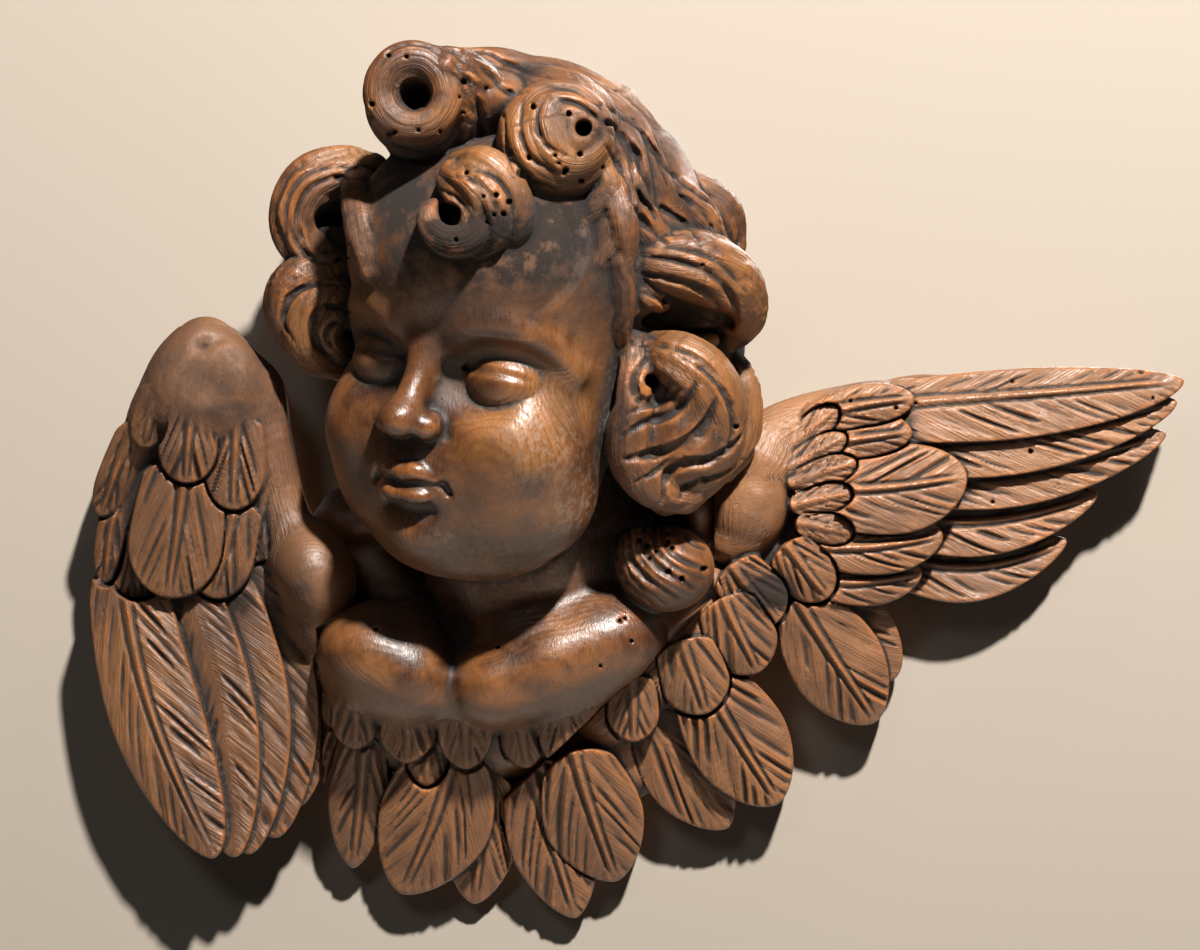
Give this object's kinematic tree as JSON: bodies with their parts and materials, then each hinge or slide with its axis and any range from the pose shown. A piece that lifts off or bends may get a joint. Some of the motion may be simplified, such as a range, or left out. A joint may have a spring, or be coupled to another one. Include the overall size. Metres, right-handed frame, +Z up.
{
  "type": "carved cherub head wall ornament",
  "caption": "Carved wooden cherub head with curled hair, a spread wing, a folded wing and a fan of breast feathers, made to hang flat on a wall.",
  "frame": {"origin": "middle of the flat sawn back of the head block, on the wall", "axes": "+Y into the wall, out of the flat back; -Y is where the carving faces; +Z up; +X towards the spread wing"},
  "size_m": [0.3846, 0.1338, 0.3008],
  "materials": {
    "head_wood": "old waxed walnut brown, worn golden on the high places, near black in the hollows, satin",
    "spread_wing_wood": "old waxed greyish walnut brown, satin with polished edges",
    "folded_wing_wood": "old waxed reddish walnut brown, satin with polished edges"
  },
  "bodies": {
    "root": {"head_and_breast": "head_wood", "spread_wing": "spread_wing_wood", "folded_wing": "folded_wing_wood"}
  },
  "joints": []
}
